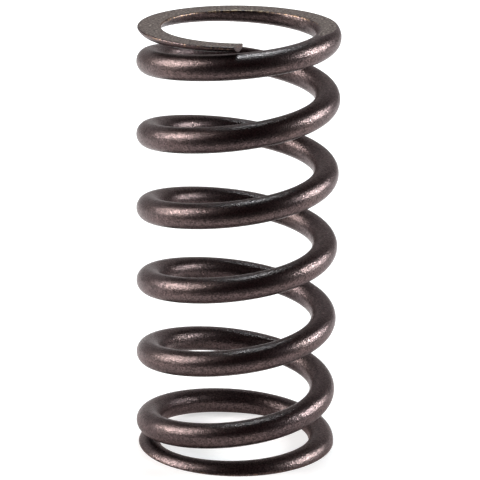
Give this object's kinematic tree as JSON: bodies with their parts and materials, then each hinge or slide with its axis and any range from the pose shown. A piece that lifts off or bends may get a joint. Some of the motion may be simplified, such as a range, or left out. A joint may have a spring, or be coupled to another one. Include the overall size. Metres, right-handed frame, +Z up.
{
  "type": "engine valve spring",
  "caption": "Right-hand coil compression spring of round wire with variable pitch and closed, flat-ground ends, for an engine valve.",
  "frame": {"origin": "on the coil's axis, in the plane of the bottom ground face", "axes": "+Z up along the coil's axis; -Y is the side seen in the picture, where the tip of the top coil lies"},
  "size_m": [0.0254, 0.0254, 0.0546],
  "materials": {
    "oil_tempered_wire": "oil-tempered chrome-silicon wire, shot-peened: satin dark bronze-brown with a fine speckle, and matt grey-brown where the two ends are ground flat"
  },
  "bodies": {
    "root": {"valve_spring": "oil_tempered_wire"}
  },
  "joints": []
}
